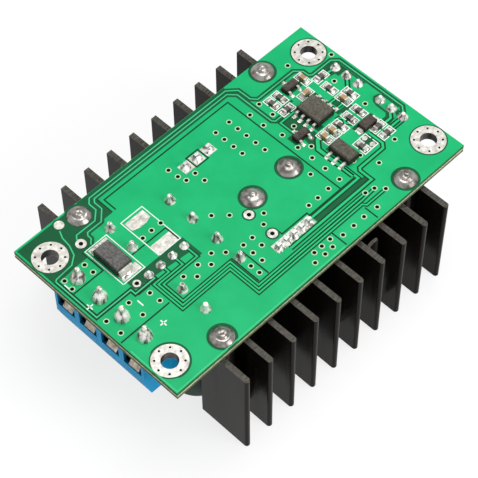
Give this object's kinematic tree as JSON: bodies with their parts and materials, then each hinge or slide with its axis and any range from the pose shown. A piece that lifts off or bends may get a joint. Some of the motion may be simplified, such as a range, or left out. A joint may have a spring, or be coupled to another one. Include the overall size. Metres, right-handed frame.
{
  "type": "buck converter module",
  "caption": "Circuit board module with finned heatsinks along its long edges, a screw terminal block, upright capacitors, a wound inductor and multi-turn trimmers.",
  "frame": {"origin": "middle of the four mounting holes, on the solder side of the board", "axes": "+X along the board from the terminal block to the trimmers, +Z out of the solder side, +Y across the board to the heatsink behind the three-lead device"},
  "size_m": [0.065, 0.047, 0.0249],
  "materials": {
    "board_green": "solder mask",
    "black_anodised": "black anodised",
    "tinned_pin": "tinned",
    "solder": "solder",
    "moulded_black": "moulded",
    "tab_metal": "tinned",
    "screw_steel": "zinc plated",
    "capacitor_green": "shrunk sleeve",
    "core_yellow": "painted",
    "copper_wire": "enamelled",
    "terminal_blue": "moulded",
    "clamp_metal": "plated",
    "trimmer_blue": "moulded",
    "adjuster_brass": "turned",
    "lamp_red": "clear tinted",
    "lamp_green": "clear tinted",
    "ceramic_tan": "fired"
  },
  "bodies": {
    "module": {"circuit_board": "board_green", "heatsink_front": "black_anodised", "heatsink_rear": "black_anodised", "heatsink_pins": "tinned_pin", "diode_tab": "tab_metal", "diode_case": "moulded_black", "diode_leads": "tinned_pin", "switch_tab": "tab_metal", "switch_case": "moulded_black", "switch_leads": "tinned_pin", "device_screws": "screw_steel", "device_washers": "screw_steel", "capacitor_1": "capacitor_green", "capacitor_2": "capacitor_green", "capacitor_3": "capacitor_green", "capacitor_4": "capacitor_green", "capacitor_leads": "tinned_pin", "inductor_core": "core_yellow", "inductor_winding": "copper_wire", "lamp_1": "lamp_red", "lamp_2": "lamp_green", "lamp_leads": "tinned_pin", "terminal_housing": "terminal_blue", "trimmer_1": "trimmer_blue", "trimmer_2": "trimmer_blue", "trimmer_pins": "tinned_pin", "shunt_body": "moulded_black", "shunt_ends": "tinned_pin", "amplifier_body": "moulded_black", "amplifier_leads": "tinned_pin", "regulator_body": "moulded_black", "regulator_leads": "tinned_pin", "transistor_bodies": "moulded_black", "transistor_leads": "tinned_pin", "surface_diode_body": "moulded_black", "surface_diode_ends": "tinned_pin", "chip_resistor_bodies": "moulded_black", "chip_resistor_caps": "solder", "chip_capacitor_bodies": "ceramic_tan", "chip_capacitor_caps": "solder", "heatsink_solder": "solder", "inductor_solder": "solder", "terminal_solder": "solder", "small_joint_solder": "solder", "device_solder": "solder", "contact_frame_1": "clamp_metal", "contact_frame_2": "clamp_metal", "contact_frame_3": "clamp_metal", "contact_frame_4": "clamp_metal"},
    "clamp_leaf_1": {"clamp_leaf_1": "clamp_metal"},
    "clamp_screw_1": {"clamp_screw_1": "screw_steel"},
    "clamp_leaf_2": {"clamp_leaf_2": "clamp_metal"},
    "clamp_screw_2": {"clamp_screw_2": "screw_steel"},
    "clamp_leaf_3": {"clamp_leaf_3": "clamp_metal"},
    "clamp_screw_3": {"clamp_screw_3": "screw_steel"},
    "clamp_leaf_4": {"clamp_leaf_4": "clamp_metal"},
    "clamp_screw_4": {"clamp_screw_4": "screw_steel"},
    "trimmer_screw_1": {"trimmer_screw_1": "adjuster_brass"},
    "trimmer_screw_2": {"trimmer_screw_2": "adjuster_brass"}
  },
  "joints": [
    {"name": "clamp_slide_1", "type": "slide", "parent": "module", "child": "clamp_leaf_1", "axis": [0, 0, 1], "range_m": [0, 0.002]},
    {"name": "clamp_turn_1", "type": "hinge", "parent": "clamp_leaf_1", "child": "clamp_screw_1", "pos_m": [-0.0287, -0.0077, -0.008], "axis": [0, 0, 1], "range_deg": [0, 1441]},
    {"name": "clamp_slide_2", "type": "slide", "parent": "module", "child": "clamp_leaf_2", "axis": [0, 0, 1], "range_m": [0, 0.002]},
    {"name": "clamp_turn_2", "type": "hinge", "parent": "clamp_leaf_2", "child": "clamp_screw_2", "pos_m": [-0.0287, -0.0027, -0.008], "axis": [0, 0, 1], "range_deg": [0, 1441]},
    {"name": "clamp_slide_3", "type": "slide", "parent": "module", "child": "clamp_leaf_3", "axis": [0, 0, 1], "range_m": [0, 0.002]},
    {"name": "clamp_turn_3", "type": "hinge", "parent": "clamp_leaf_3", "child": "clamp_screw_3", "pos_m": [-0.0287, 0.0023, -0.008], "axis": [0, 0, 1], "range_deg": [0, 1441]},
    {"name": "clamp_slide_4", "type": "slide", "parent": "module", "child": "clamp_leaf_4", "axis": [0, 0, 1], "range_m": [0, 0.002]},
    {"name": "clamp_turn_4", "type": "hinge", "parent": "clamp_leaf_4", "child": "clamp_screw_4", "pos_m": [-0.0287, 0.0073, -0.008], "axis": [0, 0, 1], "range_deg": [0, 1441]},
    {"name": "trimmer_turn_1", "type": "hinge", "parent": "module", "child": "trimmer_screw_1", "pos_m": [0.03046, 0.00817, -0.0103], "axis": [0, 0, 1], "continuous": true},
    {"name": "trimmer_turn_2", "type": "hinge", "parent": "module", "child": "trimmer_screw_2", "pos_m": [0.03046, -0.00188, -0.0103], "axis": [0, 0, 1], "continuous": true}
  ],
  "couplings": [
    {"joint": "clamp_turn_1", "follows": "clamp_slide_1", "rad_per_m": 12566},
    {"joint": "clamp_turn_2", "follows": "clamp_slide_2", "rad_per_m": 12566},
    {"joint": "clamp_turn_3", "follows": "clamp_slide_3", "rad_per_m": 12566},
    {"joint": "clamp_turn_4", "follows": "clamp_slide_4", "rad_per_m": 12566}
  ]
}
